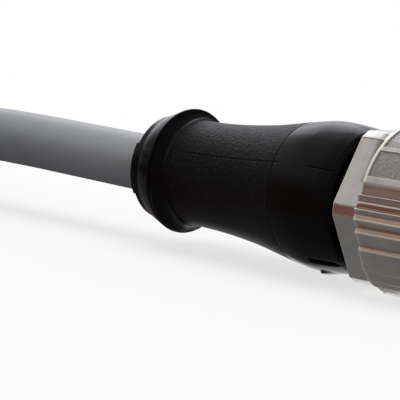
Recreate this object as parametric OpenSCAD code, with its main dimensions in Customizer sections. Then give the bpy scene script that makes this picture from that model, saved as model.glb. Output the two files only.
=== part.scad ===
// Circular sensor connector, male, with a moulded grip, a free-spinning coupling screw and a
// pre-wired cable that is folded into a tied hank. +X points to the mating end, +Z is up, and
// the origin is the centre of the shoulder where the coupling thread begins.

/* [Coupling screw] */
// Size of the hexagon across its flats
hex_af = 14; // [13.6:0.1:14.4]
// Length of the plain hexagon behind the ribs
hex_len = 2.6; // [2:0.1:3.5]
// Width of the small facet on each corner of the hexagon
hex_corner = 1.1; // [0.6:0.1:1.6]
// Length of the ribbed grip in front of the hexagon
grip_len = 7.9; // [6:0.1:10]
// Radius of the two smooth panels on the ribbed grip
panel_r = 7.85; // [7.6:0.05:8.2]
// Depth of the plain fields that are sunk in each panel
field_depth = 0.14; // [0.05:0.01:0.25]
// Rim that is left between fields and round them
field_rim = 0.4; // [0.3:0.05:0.8]
// Outside radius of the coupling thread
thread_r = 6; // [5.9:0.05:6.1]
// Length of the coupling thread
thread_len = 6.5; // [5.5:0.1:8]
// Chamfer on the first turn of the thread
thread_chamfer = 0.5; // [0.2:0.1:0.8]
// Wall of the screw from the top of the thread to its bore
thread_wall = 1.05; // [0.9:0.05:1.1]
// Thickness of the inner web that pushes on the contact carrier
web_len = 2; // [1.5:0.1:3]
// Depth of the open recess behind the web
recess_len = 3.2; // [2.8:0.1:4]

/* [Contact carrier] */
// Wall of the socket round the pins
socket_wall = 0.6; // [0.5:0.05:0.7]
// Depth of the socket
socket_depth = 8.4; // [7:0.1:9]
// How far the socket's rim stands back from the end of the thread
socket_set_back = 0.3; // [0.1:0.1:0.8]
// Width of the coding key inside the socket
key_w = 1.3; // [1:0.1:1.5]
// Height of the coding key inside the socket
key_h = 0.65; // [0.4:0.05:0.8]
// Radius of the carrier where it passes through the web
neck_r = 4.5; // [4.4:0.05:4.55]
// Running clearance between the carrier and the screw, on the radius
run_fit = 0.08; // [0.05:0.01:0.1]
// Bond line between moulded pieces, on the radius
bond = 0.02; // [0.01:0.01:0.04]

/* [Contacts] */
// Diameter of a contact pin
pin_d = 1; // [0.9:0.05:1.1]
// Diameter of the circle that the four outer pins stand on
pin_circle = 5; // [4.6:0.1:5.2]
// How far the pin tips stand back from the socket's rim
pin_set_back = 1.5; // [1:0.1:2.5]
// Diameter of the crimp barrel behind each pin
barrel_d = 1.7; // [1.5:0.1:1.8]
// Length of the crimp barrel
barrel_len = 3; // [2:0.1:4]

/* [Moulded grip] */
// Gap between the front edge of the grip and the hexagon
grip_gap = 1.1; // [0.6:0.1:1.6]
// Length of the grip from its front edge to the crest of the collar's lip
lip_back = 23; // [22:0.1:26]
// Radius of the collar's lip
lip_r = 6.35; // [6.1:0.05:6.6]
// Length of the collar behind its lip
collar_len = 3.2; // [2.6:0.1:4]
// Radius of the ring at the rear end of the collar
collar_ring_r = 5.3; // [5.1:0.05:5.5]
// How far the two long tabs of the collar's rear face stand out
collar_tab = 0.35; // [0.2:0.05:0.6]
// Height of those two tabs
collar_tab_w = 4.8; // [4:0.1:6]
// How far the spigot stays clear of the screw's recess, on the radius
spigot_play = 0.5; // [0.4:0.05:0.6]
// Depth of the ring groove that parts the rough neck from the smooth shoulder
seam_depth = 0.15; // [0.05:0.05:0.25]
// Where that groove lies, behind the front edge of the grip
seam_back = 6.75; // [6:0.05:8]
// Length of the sunk mark low on the shoulder
mark_len = 2.5; // [2:0.1:3]
// Width of the sunk mark
mark_w = 0.75; // [0.5:0.05:1]
// Angle of the sunk mark below the horizontal
mark_angle = -54; // [-60:1:-45]
// Height of the coding arrow that stands out under the shoulder
arrow_h = 0.25; // [0.15:0.05:0.4]

/* [Friction ring] */
// Diameter of the section of the friction ring
ring_d = 1.2; // [1:0.1:1.4]
// Clearance between the friction ring and the screw's recess
ring_fit = 0.06; // [0.03:0.01:0.1]
// Wall of the grip's spigot under the friction ring
ring_wall = 0.5; // [0.4:0.05:0.6]

/* [Cable] */
// Outside diameter of the cable
cable_d = 5.9; // [5.7:0.1:6.1]
// Diameter of one insulated core
core_d = 1.3; // [1.2:0.05:1.4]
// Diameter of the circle that the outer cores lie on inside the cable
core_circle = 3; // [2.8:0.1:3.2]
// Diameter of the bare conductor
conductor_d = 0.75; // [0.6:0.05:0.9]
// Length of the stripped conductor at the open end
conductor_len = 7; // [5:0.5:10]
// Thickness of the hank ties
tie_t = 0.8; // [0.6:0.1:1]
// Width of the hank ties
tie_w = 4.8; // [3.6:0.1:6]

/* [Hidden] */

round_fn = 96;
fine_fn = 40;
past = 0.2;         // how far a cutting tool runs past the face it opens

// Stations along the axis
nut_rear = -(hex_len + grip_len);
web_rear = nut_rear + recess_len;
web_front = web_rear + web_len;
grip_front = nut_rear - grip_gap;
spigot_front = web_rear - 0.2;
lip_x = grip_front - lip_back;
collar_rear = lip_x - collar_len;
socket_rim = thread_len - socket_set_back;
socket_floor = socket_rim - socket_depth;
carrier_rear = grip_front - 1;
barrel_rear = carrier_rear - barrel_len;
mould_rear = carrier_rear - 10;

// Radii that follow from one another
bore_r = thread_r - thread_wall;
ring_seat_r = neck_r + bond + ring_wall;
ring_centre_r = ring_seat_r + bond + ring_d / 2;
recess_r = ring_centre_r + ring_d / 2 + ring_fit;
spigot_r = recess_r - spigot_play;
carrier_r = bore_r - run_fit;
socket_r = carrier_r - socket_wall;
web_r = neck_r + 0.12;
mould_r = neck_r - 0.2;
sheath_r = cable_d / 2;
floor_z = -panel_r;

// The stair of ribs on each side of the screw, seen along the axis. d is the height of a face
// above the axis and s its place across the stair; each face runs from one corner to the next.
stair_base = 4.95;
rib_up = [
    [stair_base, 5.9], [5.25, 4.85], [5.95, 5.4], [6.05, 4.75], [6.2, 4.68], [6.35, 4.25],
    [6.85, 4.45], [6.87, 3.9], [7.35, 3.62], [7.15, 2.64], [7.6, 2.38], [7.4, 0.8], [7.73, 0.61],
];
rib_down = [
    [7.8, -1.65], [7.6, -1.8], [7.6, -2.85], [7.35, -3.0], [7.35, -3.65],
    [6.85, -3.45], [6.85, -4.45], [5.95, -4.0], [5.95, -5.45], [stair_base, -4.75],
];
stair_turn = 210;   // the direction of the first stair, from +Y towards +Z
field_spans = [[25, 45.5], [48.5, 71.5], [74.5, 95]];

// Cores: place on the pin circle and on the core circle, the last one in the middle
CORE_NAMES = ["brown", "white", "blue", "black", "grey"];
CORE_COLOURS = ["saddlebrown", "white", "royalblue", "#202020", "grey"];
core_angles = [135, 45, -45, -135, 0];

// Outline of the neck and shoulder: distance behind the front edge of the grip, and radius
grip_outline = [
    [0.5, 6.82], [2, 7.0], [4, 7.11], [5.5, 7.04], [8, 6.66], [11.5, 6.03],
    [15.2, 5.58], [18.8, 5.34], [21.6, 5.32],
];

shoulder_r = grip_outline[2][1];

// The hank: a flat loop, two turns wide and three high, with half a turn more on top
hank_near = -97;
hank_run = 56;
hank_fold_r = 17.7;
hank_outer_y = 4.8;
hank_layers = 3;
hank_far = hank_near - hank_run;
hank_mid = (hank_near + hank_far) / 2;
hank_z = floor_z + tie_t + bond;
hank_inner_y = hank_outer_y - cable_d;
hank_centre_y = hank_inner_y - hank_fold_r;
hank_top = hank_z + hank_layers * cable_d;
hank_corner = round(100 * sheath_r * (2 - sqrt(2))) / 100;  // left free by a round strand
lead_x = hank_mid + 8;
lead_back_y = 2 * hank_centre_y - hank_inner_y;
lead_drop = 12;
lead_len = 38;

// Centre line of the cable from the collar to the hank: straight, then down and a little aside
bend_x = -63;
drop_run = 24;
aside_run = 34;
function eased(t) = 0.5 - 0.5 * cos(180 * min(max(t, 0), 1));
cable_route = [for (x = [collar_rear, -44, -50, -56, -60, each [for (k = [0:9]) bend_x - 4 * k]])
    [x, hank_outer_y * eased((bend_x - x) / aside_run),
        (hank_z + sheath_r) * eased((bend_x - x) / drop_run)]];

// Turns a shape that was made round or along +Z so that it lies along +X from station x
module along_x(x) {
    translate([x, 0, 0]) rotate([90, 0, 90]) children();
}

module rod(x_from, x_to, r, fn = round_fn) {
    along_x(x_from) cylinder(h = x_to - x_from, r = r, $fn = fn);
}

// Cone from radius r_from at x_from to radius r_to at x_to
module taper(x_from, r_from, x_to, r_to) {
    along_x(x_from) cylinder(h = x_to - x_from, r1 = r_from, r2 = r_to, $fn = round_fn);
}

// ---- Coupling screw --------------------------------------------------------------------------

// Section of the ribbed grip: panels on a circle, a stair of ribs on both sides
module rib_section() {
    root = stair_base - 1;
    corners = concat(
        [[root, rib_up[0][1]]], rib_up, rib_down, [[root, rib_down[len(rib_down) - 1][1]]]);
    for (side = [0, 180]) rotate(stair_turn + side)
        polygon([for (p = corners) [p[0], -p[1]]]);
    intersection() {
        circle(r = panel_r, $fn = 180);
        rotate(stair_turn) square([2 * stair_base, 4 * panel_r], center = true);
    }
}

// A plain field sunk in a panel, between two angles measured up from the horizontal
module panel_field(span) {
    field_front = -field_rim - 0.6;
    field_rear = nut_rear + hex_len + field_rim;
    floor_r = panel_r - field_depth;
    corners = [
        [0, 0],
        for (a = [span[0], (span[0] + span[1]) / 2, span[1]])
            [2 * panel_r * cos(180 - a), 2 * panel_r * sin(180 - a)],
    ];
    intersection() {
        along_x(field_rear) linear_extrude(field_front - field_rear) polygon(corners);
        difference() {
            rod(field_rear - past, field_front + past, panel_r + 1);
            rod(field_rear - 2 * past, field_front + 2 * past, floor_r);
        }
    }
}

module hexagon_part() {
    facet_af = 2 * (hex_af / 2 / cos(30) - hex_corner / 2 / tan(60));
    intersection() {
        along_x(nut_rear) cylinder(h = hex_len, r = hex_af / 2 / cos(30), $fn = 6);
        along_x(nut_rear) rotate(30)
            cylinder(h = hex_len, r = facet_af / 2 / cos(30), $fn = 6);
    }
}

module ribbed_part() {
    front_bevel = 0.8;
    intersection() {
        along_x(nut_rear + hex_len) linear_extrude(grip_len) rib_section();
        union() {
            rod(nut_rear, -front_bevel, panel_r + 1);
            taper(-front_bevel, panel_r + 0.5, 0, panel_r - 0.6);
        }
    }
}

module coupling_screw() {
    color("gainsboro") difference() {
        union() {
            hexagon_part();
            ribbed_part();
            // Solid metal under the hexagon and the ribs, where one passes into the other
            rod(nut_rear + hex_len / 2, nut_rear + hex_len + 1, hex_af / 2 - 0.1);
            rod(-past, thread_len - thread_chamfer, thread_r);
            taper(thread_len - thread_chamfer, thread_r, thread_len, thread_r - thread_chamfer);
        }
        for (side = [0, 180], span = field_spans) rotate([side, 0, 0]) panel_field(span);
        rod(nut_rear - past, web_rear, recess_r);
        rod(web_rear - past, web_front + past, web_r);
        rod(web_front, thread_len + past, bore_r);
        taper(nut_rear - past, recess_r + 0.5, nut_rear + 0.3, recess_r);
    }
}

// ---- Contact carrier and contacts ------------------------------------------------------------

function pin_place(i) = i == 4 ? [0, 0] :
    [pin_circle / 2 * cos(core_angles[i]), pin_circle / 2 * sin(core_angles[i])];

function core_place(i) = i == 4 ? [0, 0] :
    [core_circle / 2 * cos(core_angles[i]), core_circle / 2 * sin(core_angles[i])];

module contact_carrier() {
    color("#262626") {
        difference() {
            union() {
                rod(web_front + run_fit, socket_rim - 0.3, carrier_r);
                taper(socket_rim - 0.3, carrier_r, socket_rim, carrier_r - 0.25);
                rod(carrier_rear, web_front + run_fit + past, neck_r);
            }
            rod(socket_floor, socket_rim + past, socket_r);
            for (i = [0:4]) translate([0, pin_place(i)[0], pin_place(i)[1]])
                rod(carrier_rear - past, socket_floor + past, pin_d / 2 + bond, fine_fn);
        }
        intersection() {
            translate([socket_floor - past, -key_w / 2, socket_r - key_h])
                cube([socket_depth - 0.4, key_w, key_h + socket_wall / 2]);
            rod(socket_floor - past, socket_rim, socket_r + socket_wall / 2);
        }
    }
}

module contact_pin(i) {
    tip = socket_rim - pin_set_back;
    nose = 0.35;
    color("gold") translate([0, pin_place(i)[0], pin_place(i)[1]]) {
        rod(carrier_rear, tip - nose, pin_d / 2, fine_fn);
        along_x(tip - nose) cylinder(h = nose, r1 = pin_d / 2, r2 = pin_d / 4, $fn = fine_fn);
        rod(barrel_rear, carrier_rear, barrel_d / 2, fine_fn);
    }
}

// ---- Moulded grip ----------------------------------------------------------------------------

// Smooth curve through four points, of which it runs between the middle two
function between(a, b, c, d, t) =
    b + t / 2 * (c - a) + t * t * (a - 2.5 * b + 2 * c - d / 2)
    + t * t * t * (1.5 * b - a / 2 - 1.5 * c + d / 2);

function smooth(points, steps) = let (n = len(points) - 1) [
    for (i = [0:n - 1], k = [0:steps - 1]) between(
        points[max(i - 1, 0)], points[i], points[i + 1], points[min(i + 2, n)], k / steps),
    points[n],
];

// Half outline of the grip as [radius, station], from the spigot back to the collar
function grip_points() = let (
    neck = smooth(grip_outline, 4),
    scoop_from = neck[len(neck) - 1],
    scoop_x = grip_front - scoop_from[0],
    land = 0.25
) [
    [0, spigot_front], [spigot_r - 0.2, spigot_front], [spigot_r, spigot_front - 0.2],
    [spigot_r, grip_front], [grip_outline[0][1] - 0.3, grip_front],
    for (p = neck) [p[1], grip_front - p[0]],
    for (t = [15:15:90]) [
        lip_r - (lip_r - scoop_from[1]) * cos(t), scoop_x - (scoop_x - lip_x) * sin(t)],
    [lip_r, lip_x - land], [collar_ring_r + 0.25, collar_rear + 1],
    [collar_ring_r, collar_rear + 0.9], [collar_ring_r, collar_rear + 0.1],
    [collar_ring_r - 0.1, collar_rear], [0, collar_rear],
];

// The ring groove follows the shoulder on a plane that leans a little, like the mould's joint
module seam_groove() {
    seam_r = 6.9;
    lean = -4;
    translate([grip_front - seam_back, 0, 0]) rotate([0, lean, 0]) rotate([90, 0, 90])
        rotate_extrude($fn = round_fn) translate([seam_r, 0]) circle(r = seam_depth, $fn = 16);
}

// The sunk mark: a short slot with round ends, across the shoulder's surface
module sunk_mark() {
    mark_front = grip_front - 0.7;
    half = mark_len / 2 - mark_w / 2;
    rotate([-mark_angle, 0, 0]) translate([mark_front - mark_len / 2, -7.2, 0])
        rotate([90, 0, 0]) {
            for (end = [-half, half]) translate([end, 0, -0.55])
                cylinder(h = 2, d = mark_w, $fn = fine_fn);
            translate([-half, -mark_w / 2, -0.55]) cube([2 * half, mark_w, 2]);
        }
}

// The coding arrow: a low wedge on the shoulder
module coding_arrow() {
    arrow_angle = -80;
    arrow_w = 1.6;
    arrow_len = 1.5;
    arrow_back = 2.4;
    sunk = 0.5;
    top = shoulder_r + arrow_h;
    height = arrow_h + sunk;
    rotate([-arrow_angle, 0, 0]) translate([grip_front - arrow_back - arrow_len, -top, -arrow_w / 2])
        linear_extrude(arrow_w)
            polygon([[0, 0], [arrow_len, arrow_h + 0.1], [arrow_len, height], [0, height]]);
}

module grip_body() {
    color("#1c1c1e") difference() {
        union() {
            along_x(0) rotate_extrude($fn = round_fn) polygon(grip_points());
            coding_arrow();
            // Two long tabs on the rear face of the collar
            intersection() {
                rod(collar_rear - collar_tab, collar_rear + past, collar_ring_r - 0.1);
                translate([collar_rear - collar_tab, -collar_ring_r, -collar_tab_w / 2])
                    cube([1, 2 * collar_ring_r, collar_tab_w]);
            }
        }
        rod(carrier_rear, spigot_front + past, neck_r + bond);
        rod(mould_rear, carrier_rear + past, mould_r + bond);
        rod(collar_rear - 1, mould_rear + past, sheath_r + bond);
        taper(collar_rear - collar_tab - past, sheath_r + 0.5, collar_rear + 0.3, sheath_r);
        ring_groove();
        seam_groove();
        sunk_mark();
    }
}

ring_x = spigot_front - 0.7 - ring_d / 2;

// Square groove that the friction ring sits in
module ring_groove() {
    half_w = ring_d / 2 + 0.1;
    difference() {
        rod(ring_x - half_w, ring_x + half_w, spigot_r + 1);
        rod(ring_x - half_w - past, ring_x + half_w + past, ring_seat_r);
    }
}

module friction_ring() {
    color("#303234") along_x(ring_x) rotate_extrude($fn = round_fn)
        translate([ring_centre_r, 0]) circle(r = ring_d / 2, $fn = fine_fn);
}

module inner_mould() {
    color("#3a3a3c") difference() {
        rod(mould_rear, carrier_rear, mould_r);
        for (i = [0:4]) {
            translate([0, pin_place(i)[0], pin_place(i)[1]])
                rod(barrel_rear, carrier_rear + past, barrel_d / 2 + bond, fine_fn);
            core_channel(i, core_d / 2 + bond, mould_rear - past, barrel_rear + past);
        }
    }
}

// ---- Cores inside the grip -------------------------------------------------------------------

// A straight round channel from the cable's face to the crimp barrel, trimmed flat at both ends
module core_channel(i, r, x_from, x_to) {
    from = [mould_rear, core_place(i)[0], core_place(i)[1]];
    to = [barrel_rear, pin_place(i)[0], pin_place(i)[1]];
    run = to - from;
    reach = norm(run);
    overrun = 1;
    intersection() {
        translate(from) rotate([0, acos(run[2] / reach), atan2(run[1], run[0])])
            translate([0, 0, -overrun])
                cylinder(h = reach + 2 * overrun, r = r, $fn = fine_fn);
        translate([x_from, -neck_r, -neck_r]) cube([x_to - x_from, 2 * neck_r, 2 * neck_r]);
    }
}

module core(i) {
    color(CORE_COLOURS[i]) core_channel(i, core_d / 2, mould_rear, barrel_rear);
}

module cable_in_grip() {
    color("#8f9296") rod(collar_rear, mould_rear, sheath_r);
}

// ---- Cable outside the grip ------------------------------------------------------------------

function unit(v) = v / norm(v);

// Direction of a route at one of its points
function heading(route, i) =
    unit(route[min(i + 1, len(route) - 1)] - route[max(i - 1, 0)]);

function ring_points(centre, ahead, r, sides) =
    let (across = unit(cross([0, 0, 1], ahead)), up = cross(ahead, across))
    [for (k = [0:sides - 1])
        centre + r * (cos(360 * k / sides) * across + sin(360 * k / sides) * up)];

// A closed tube of one radius along a route
module tube(route, r, sides) {
    n = len(route);
    points = [for (i = [0:n - 1]) each ring_points(route[i], heading(route, i), r, sides)];
    walls = [
        for (i = [0:n - 2], k = [0:sides - 1]) let (m = (k + 1) % sides) each [
            [i * sides + k, (i + 1) * sides + k, (i + 1) * sides + m],
            [i * sides + k, (i + 1) * sides + m, i * sides + m],
        ]
    ];
    caps = [
        [for (k = [0:sides - 1]) k],
        [for (k = [sides - 1:-1:0]) (n - 1) * sides + k],
    ];
    polyhedron(points = points, faces = concat(walls, caps));
}

module cable_run() {
    color("#9a9da1") tube(cable_route, sheath_r, 12);
}

// A flat block with round ends, whose upper and lower edges are bevelled
module hank_block(r, h, low, high) {
    steps = concat(low > 0 ? [[0, r - low]] : [], [[low, r], [h - high, r], [h, r - high]]);
    hank_shape(steps);
}

// The hole in a loop, which flares outwards at its bevelled edges and runs past the block
module hank_hole(r, h, low, high) {
    hank_shape([
        [-past, r + (low > 0 ? low + past : 0)], [low, r], [h - high, r], [h + past, r + high + past]]);
}

// Shape with round ends from steps of height and radius
module hank_shape(steps) {
    last = len(steps) - 1;
    for (i = [0:last - 1], x = [hank_far, hank_near]) translate([x, hank_centre_y, steps[i][0]])
        cylinder(h = steps[i + 1][0] - steps[i][0], r1 = steps[i][1], r2 = steps[i + 1][1],
            $fn = round_fn);
    translate([0, hank_centre_y, 0]) along_x(hank_far) linear_extrude(hank_run) polygon(concat(
        [for (p = steps) [p[1], p[0]]], [for (i = [last:-1:0]) [-steps[i][1], steps[i][0]]]));
}

// A flat loop: outside radius r_out, w wide, h high, bevelled below and above
module hank_loop(r_out, w, z, h, low, high) {
    translate([0, 0, z]) difference() {
        hank_block(r_out, h, low, high);
        hank_hole(r_out - w, h, low, high);
    }
}

module cable_hank() {
    outer_r = hank_outer_y - hank_centre_y + sheath_r;
    color("#9a9da1") {
        hank_loop(outer_r, 2 * cable_d, hank_z, hank_layers * cable_d, hank_corner, hank_corner);
        intersection() {
            hank_loop(outer_r - cable_d, cable_d, hank_top - past, cable_d + past, 0, hank_corner);
            translate([hank_far - outer_r, hank_centre_y - outer_r, hank_top - past])
                cube([lead_x - hank_far + outer_r, 2 * outer_r, 2 * cable_d]);
        }
    }
}

// Section of one side of the hank, with side 1 next to the incoming cable and -1 away from it
module hank_side_section(side) {
    near = hank_fold_r - sheath_r;
    far = hank_fold_r + cable_d + sheath_r;
    top = hank_top + cable_d;
    cut = hank_corner;
    translate([hank_centre_y, 0]) polygon([
        for (p = [
            [near + cut, hank_z], [far - cut, hank_z], [far, hank_z + cut], [far, hank_top - cut],
            [near + cable_d - cut, top], [near + cut, top], [near, top - cut], [near, hank_z + cut],
        ]) [side * p[0], p[1]],
    ]);
}

// A tie round one side, with its head on the inside of the hank
module hank_tie(side) {
    head_w = 5.6;
    head_h = 6.2;
    head_t = 3.6;
    head_z = 2.5;
    inner = hank_fold_r - sheath_r - bond;
    color("#2a2a2a") {
        along_x(hank_mid - tie_w / 2) linear_extrude(tie_w) difference() {
            offset(r = tie_t, $fn = 24) hank_side_section(side);
            offset(delta = bond) hank_side_section(side);
        }
        translate([hank_mid - head_w / 2, hank_centre_y + side * (inner - 0.1 - head_t / 2)
            - head_t / 2, head_z - head_h / 2]) cube([head_w, head_t, head_h]);
    }
}

// ---- Open end of the cable -------------------------------------------------------------------

lead_spread = 2.1;
lead_lanes = [-2, 2, 1, -1, 0];     // the upper cores lie outside the lower ones

// Route of one stripped core: out of the sheath, down onto the hank, then straight on
function lead_route(i) = let (
    at = core_place(i),
    low = hank_top + core_d / 2 + bond,
    high = hank_top + sheath_r,
    lane = lead_back_y - cable_d / 2 + lead_spread * lead_lanes[i]
) [
    [lead_x, lead_back_y + at[0], high + at[1]],
    [lead_x + 3, lead_back_y + at[0], high + at[1]],
    [lead_x + lead_drop * 0.6, (lead_back_y + at[0] + lane) / 2, (high + at[1] + low) / 2],
    [lead_x + lead_drop, lane, low],
    [lead_x + lead_len - conductor_len, lane, low],
];

module lead(i) {
    color(CORE_COLOURS[i]) tube(lead_route(i), core_d / 2, 8);
}

module conductor(i) {
    end = lead_route(i)[4];
    color("silver") translate([0, end[1], end[2]])
        rod(end[0], end[0] + conductor_len, conductor_d / 2, 24);
}

coupling_screw();
contact_carrier();
contact_pin(0);  // contact_pin_1
contact_pin(1);  // contact_pin_2
contact_pin(2);  // contact_pin_3
contact_pin(3);  // contact_pin_4
contact_pin(4);  // contact_pin_5
grip_body();
friction_ring();
inner_mould();
cable_in_grip();
core(0);  // core_brown
core(1);  // core_white
core(2);  // core_blue
core(3);  // core_black
core(4);  // core_grey
cable_run();
cable_hank();
hank_tie(1);  // hank_tie_outer
hank_tie(-1);  // hank_tie_inner
lead(0);  // lead_brown
lead(1);  // lead_white
lead(2);  // lead_blue
lead(3);  // lead_black
lead(4);  // lead_grey
conductor(0);  // conductor_brown
conductor(1);  // conductor_white
conductor(2);  // conductor_blue
conductor(3);  // conductor_black
conductor(4);  // conductor_grey
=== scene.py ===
# %% [markdown]
# # Dressing a circular sensor plug and its cable
#
# The packed solids give the exact sizes of the plug: a metal coupling screw that spins on a
# moulded black grip, a contact carrier with five gold pins, and a grey cable folded into a hank.
# Solids like these could simply be given a colour each. Here the solids that are seen are rebuilt
# as denser meshes, so that edges have real radii and the thread has real turns, and the rest
# keep their mesh and get a finish. Everything is in metres, in the frame of the solids, and
# sizes are written in millimetres times MM.

# %% Load the packed solids
import math

import bmesh
import bpy
import numpy as np
from mathutils import Matrix, Vector


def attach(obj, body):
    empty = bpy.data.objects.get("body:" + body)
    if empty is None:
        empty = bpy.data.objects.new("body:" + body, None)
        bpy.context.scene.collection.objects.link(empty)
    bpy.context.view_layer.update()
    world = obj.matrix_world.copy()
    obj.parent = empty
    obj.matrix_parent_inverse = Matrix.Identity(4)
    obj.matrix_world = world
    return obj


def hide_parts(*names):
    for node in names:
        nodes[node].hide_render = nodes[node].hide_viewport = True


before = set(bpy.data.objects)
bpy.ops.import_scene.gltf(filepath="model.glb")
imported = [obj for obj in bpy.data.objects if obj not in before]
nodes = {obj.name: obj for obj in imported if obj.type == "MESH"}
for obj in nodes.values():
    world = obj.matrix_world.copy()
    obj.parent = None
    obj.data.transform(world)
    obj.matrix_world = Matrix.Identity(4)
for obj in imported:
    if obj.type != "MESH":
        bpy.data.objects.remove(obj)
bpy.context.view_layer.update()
MM = 0.001

# %% [markdown]
# ## The camera
#
# A small product looks best through a long lens, from a little above the table. A camera could
# be aimed with a Track To constraint, but its tilt about the line of sight would then be lost.
# Three unit vectors, across, up and back, make the camera's matrix directly.

# %% Place the camera
CAMERA_AT = Vector((81.48, -130.21, 18.44)) * MM
AZIMUTH, ELEVATION, ROLL = 41.33, 6.96, 4.63
LENS, SENSOR = 155.48, 36


def camera_turn(azimuth, elevation, roll):
    a, e, r = math.radians(azimuth), math.radians(elevation), math.radians(roll)
    back = Vector((math.sin(a) * math.cos(e), -math.cos(a) * math.cos(e), math.sin(e)))
    level = Vector((math.cos(a), math.sin(a), 0))
    across = level * math.cos(r) + back.cross(level) * math.sin(r)
    return Matrix((across, back.cross(across), back)).transposed().to_4x4()


camera_data = bpy.data.cameras.new("camera")
camera_data.lens = LENS
camera_data.sensor_width = SENSOR
camera_data.clip_start, camera_data.clip_end = 0.01, 20
camera = bpy.data.objects.new("camera", camera_data)
camera.matrix_world = Matrix.Translation(CAMERA_AT) @ camera_turn(AZIMUTH, ELEVATION, ROLL)
bpy.context.collection.objects.link(camera)
bpy.context.scene.camera = camera
bpy.context.scene.view_settings.view_transform = "Standard"
print("camera stands", round(CAMERA_AT.length, 3), "m from the thread's shoulder")

# %% [markdown]
# ## Ways to make a mesh
#
# Turned, moulded and drawn parts are all a section that changes along a line. Blender's Screw
# and Skin modifiers can make some of them, but here each ring of points is worked out in
# numbers, and `grid_faces` joins the rings with quads. A `tube` is such a grid whose rings
# follow a path: a ring is turned as little as possible from the one before, so that the tube
# never twists. `catmull` draws a smooth curve through a few points.

# %% Make a piece from points and faces
PER_METRE = 1 / MM
MERGE_MM = 2e-4


def new_piece(name, points, faces, sharp=35):
    """A smooth mesh object; points closer than a fraction of a micron are merged first."""
    mesh = bpy.data.meshes.new(name)
    mesh.from_pydata((np.array(points) * PER_METRE).tolist(), [], faces)
    work = bmesh.new()
    work.from_mesh(mesh)
    bmesh.ops.remove_doubles(work, verts=work.verts, dist=MERGE_MM)
    bmesh.ops.dissolve_degenerate(work, edges=work.edges, dist=MERGE_MM)
    bmesh.ops.recalc_face_normals(work, faces=work.faces)
    bmesh.ops.scale(work, verts=work.verts, vec=(MM, MM, MM))
    work.to_mesh(mesh)
    work.free()
    mesh.shade_smooth()
    mesh.set_sharp_from_angle(angle=math.radians(sharp))
    piece = bpy.data.objects.new(name, mesh)
    bpy.context.collection.objects.link(piece)
    return piece


def grid_faces(rows, columns, closed=False, first=0, seam=0):
    """Quads between rings; seam is how many rings lower the last column starts the same line."""
    faces = []
    for i in range(rows if closed else rows - 1):
        for j in range(columns):
            k = (j + 1) % columns
            lift = seam if k == 0 else 0
            above = (i + 1) % rows if closed else i + 1
            a = first + min(i + lift, rows - 1) * columns + j
            b = first + min(above + lift, rows - 1) * columns + j
            faces.append((a, first + i * columns + k, first + above * columns + k, b))
    return faces


print("quads between three rings of four points:", len(grid_faces(3, 4)))

# %% Smooth curves and tubes


def catmull(points, steps):
    """Smooth curve through all the points, with some steps from each to the next."""
    p = np.array(points, float)
    p = np.vstack([2 * p[0] - p[1], p, 2 * p[-1] - p[-2]])
    t = (np.arange(steps) / steps)[:, None]
    out = [
        b + t / 2 * (c - a) + t * t * (a - 2.5 * b + 2 * c - d / 2)
        + t ** 3 * (1.5 * b - a / 2 - 1.5 * c + d / 2)
        for a, b, c, d in zip(p, p[1:], p[2:], p[3:])
    ]
    return np.vstack(out + [p[-2:-1]])


def tube_rings(path, radius, sides, end_round):
    """Rings of points along a path, closed at both ends, whose ends may have a small round."""
    ahead = np.gradient(path, axis=0)
    ahead /= np.linalg.norm(ahead, axis=1)[:, None]
    angles = np.arange(sides) * 2 * math.pi / sides
    across = np.cross([0.1, 0.2, 1.0], ahead[0])
    rows = []
    cap = [(0, 0), (0, 1 - end_round / radius), (0.3 * end_round, 1 - 0.3 * end_round / radius)]
    for i, (place, along) in enumerate(zip(path, ahead)):
        across = across - along * across.dot(along)
        across /= np.linalg.norm(across)
        circle = np.cos(angles)[:, None] * across + np.sin(angles)[:, None] * np.cross(along, across)
        if i == 0:
            steps = cap + [(end_round, 1)]
        elif i == len(path) - 1:
            steps = [(-shift, scale) for shift, scale in reversed(cap + [(end_round, 1)])]
        else:
            steps = [(0, 1)]
        rows += [place + along * shift + circle * radius * scale for shift, scale in steps]
    return rows


def tube(name, path, radius, sides, end_round):
    rows = tube_rings(np.array(path, float), radius, sides, end_round * MM)
    return new_piece(name, np.vstack(rows), grid_faces(len(rows), sides), sharp=50)


print("three points, four steps each:", len(catmull([(0, 0), (1, 0), (2, 1)], 4)), "points")

# %% [markdown]
# ## The cable, first of all
#
# The plug is moulded on a polyurethane cable of 5.9 mm, and most of that cable is put away as a
# flat hank of five and a half turns. A Curve object with a bevel would do for a plain cable. A
# tube mesh is used instead, so that the same helper makes the thin stripped cores. The hank is
# laid turn by turn: each turn has two straight sides and two half circles, in the outer lane (O)
# or the inner lane (I) and on layer 1 to 4, and a strand changes lane where that place is still
# free. Each word below is such a place, for the near end, the middle and the far end of a side.

# %% Route of the cable, in millimetres
CABLE_D = 5.9
COLLAR_REAR = -37.8
FLOOR_Z = -7.85
HANK_NEAR, HANK_FAR, HANK_END = -97, -153, -117
HANK_CENTRE_Y = -18.8
HANK_Z = -7.03
HANK_OUTER_Y = 4.8
STRAIGHT_X = (COLLAR_REAR, -44, -50, -56, -60)
BEND_X, DROP_RUN, ASIDE_RUN = -63, 24, 34
RISE, RISE_RUN = 0.42, 20
LANE_R = {"O": 23.6, "I": 17.7}
TURNS = [
    ("O1 O1 O1", "O1 O1 O1"),
    ("I1 I1 I1", "I1 I1 I2"),
    ("I2 I2 I2", "I2 O2 O2"),
    ("O2 O2 O2", "O3 O3 O3"),
    ("O3 O3 I3", "I3 I3 I3"),
    ("I3 I4 I4", "I4"),
]


def lane_place(word, side):
    """Place across and height of a lane; side is 1 or -1."""
    return (HANK_CENTRE_Y + side * LANE_R[word[0]], HANK_Z + CABLE_D * (int(word[1]) - 0.5))


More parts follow.
